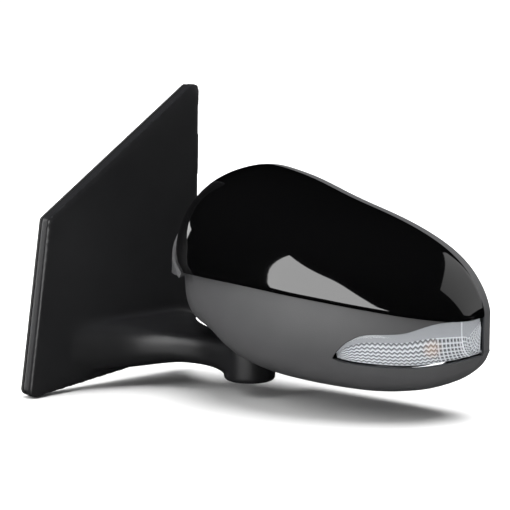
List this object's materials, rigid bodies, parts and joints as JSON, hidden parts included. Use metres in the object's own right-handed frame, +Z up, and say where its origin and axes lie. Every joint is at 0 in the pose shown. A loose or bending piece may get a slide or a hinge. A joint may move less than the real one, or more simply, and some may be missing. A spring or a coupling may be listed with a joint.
{
  "type": "car side mirror",
  "caption": "Power-folding door mirror for the left side of a car: sail base with arm, two-part shell with turn lamp, and motor-adjusted heated convex glass.",
  "frame": {"origin": "centre of the circle of mounting studs, on the face that seats against the door", "axes": "+X outboard, away from the door; +Y rearward; +Z up. The head's fold axis is vertical through X 105 mm, Y 52 mm, and the head is drawn in its driving position, its rear face swept 12 degrees."},
  "size_m": [0.2998, 0.2328, 0.2342],
  "materials": {
    "arm_satin_plastic": "satin, fine grain",
    "seal_rubber": "matt",
    "die_cast": "as cast",
    "zinc_steel": "zinc plated",
    "connector_plastic": "matt",
    "contact_brass": "tinned",
    "drive_steel": "machined",
    "sintered_steel": "sintered",
    "spring_steel": "blued",
    "gloss_black": "high gloss",
    "grained_black": "fine grained",
    "gearbox_plastic": "glass filled",
    "bush_polymer": "natural acetal",
    "motor_can": "plated",
    "adjuster_plastic": "moulded",
    "heater_foil": "printed film",
    "mirror_glass": "silvered",
    "lamp_lens": "clear, prismatic",
    "lamp_tray": "moulded",
    "reflector_chrome": "metallised",
    "circuit_board": "solder mask",
    "amber_led": "amber"
  },
  "bodies": {
    "base": {"base_cover": "arm_satin_plastic", "base_gasket": "seal_rubber", "base_bracket": "die_cast", "mount_studs": "zinc_steel", "cover_screws": "zinc_steel", "harness_socket": "connector_plastic", "harness_pins": "contact_brass", "pivot_post": "drive_steel", "post_screws": "zinc_steel", "detent_ring": "drive_steel", "arm_seal": "seal_rubber", "post_gear": "sintered_steel", "disc_springs": "spring_steel", "post_retainer": "drive_steel"},
    "head": {"cap": "gloss_black", "lower_housing": "grained_black", "rear_bezel": "grained_black", "fold_housing": "gearbox_plastic", "fold_cover": "gearbox_plastic", "pivot_bush": "bush_polymer", "detent_balls": "drive_steel", "fold_screws": "zinc_steel", "fold_motor": "motor_can", "carrier_frame": "gearbox_plastic", "adjuster_case": "adjuster_plastic", "adjuster_screws": "zinc_steel", "adjuster_lid": "adjuster_plastic", "adjuster_motors": "motor_can", "lamp_lens": "lamp_lens", "lamp_housing": "lamp_tray", "lamp_reflector": "reflector_chrome", "lamp_board": "circuit_board", "lamp_leds": "amber_led"},
    "worm": {"worm_shaft": "drive_steel"},
    "gimbal": {"gimbal_ring": "bush_polymer"},
    "glass": {"mirror_glass": "mirror_glass", "heater_pad": "heater_foil", "glass_backing": "gearbox_plastic"},
    "tilt_rod": {"tilt_rod": "bush_polymer"},
    "pan_rod": {"pan_rod": "bush_polymer"},
    "tilt_wheel": {"tilt_wheel": "bush_polymer"},
    "pan_wheel": {"pan_wheel": "bush_polymer"}
  },
  "joints": [
    {"name": "fold", "type": "hinge", "parent": "base", "child": "head", "pos_m": [0.105, 0.052, 0], "axis": [0, 0, 1], "range_deg": [-45, 60]},
    {"name": "worm_turn", "type": "hinge", "parent": "head", "child": "worm", "pos_m": [0.12569, 0.0564, -0.0325], "axis": [-0.2079, 0.9781, 0], "range_deg": [-1080, 1440]},
    {"name": "glass_tilt", "type": "hinge", "parent": "head", "child": "gimbal", "pos_m": [0.16919, 0.09631, -0.005], "axis": [0.9781, 0.2079, 0], "range_deg": [-7, 7]},
    {"name": "glass_pan", "type": "hinge", "parent": "gimbal", "child": "glass", "pos_m": [0.16919, 0.09631, -0.005], "axis": [0, 0, 1], "range_deg": [-7, 7]},
    {"name": "tilt_rod_push", "type": "slide", "parent": "head", "child": "tilt_rod", "axis": [-0.2079, 0.9781, 0], "range_m": [-0.0023, 0.0023]},
    {"name": "pan_rod_push", "type": "slide", "parent": "head", "child": "pan_rod", "axis": [-0.2079, 0.9781, 0], "range_m": [-0.0023, 0.0023]},
    {"name": "tilt_wheel_turn", "type": "hinge", "parent": "head", "child": "tilt_wheel", "pos_m": [0.17262, 0.08017, -0.023], "axis": [-0.2079, 0.9781, 0], "range_deg": [-199, 199]},
    {"name": "pan_wheel_turn", "type": "hinge", "parent": "head", "child": "pan_wheel", "pos_m": [0.19023, 0.08392, -0.005], "axis": [-0.2079, 0.9781, 0], "range_deg": [-199, 199]}
  ],
  "couplings": [
    {"joint": "worm_turn", "follows": "fold", "ratio": 24},
    {"joint": "tilt_rod_push", "follows": "glass_tilt", "m_per_rad": 0.018},
    {"joint": "pan_rod_push", "follows": "glass_pan", "m_per_rad": 0.018},
    {"joint": "tilt_wheel_turn", "follows": "glass_tilt", "ratio": 28.274},
    {"joint": "pan_wheel_turn", "follows": "glass_pan", "ratio": 28.274}
  ]
}
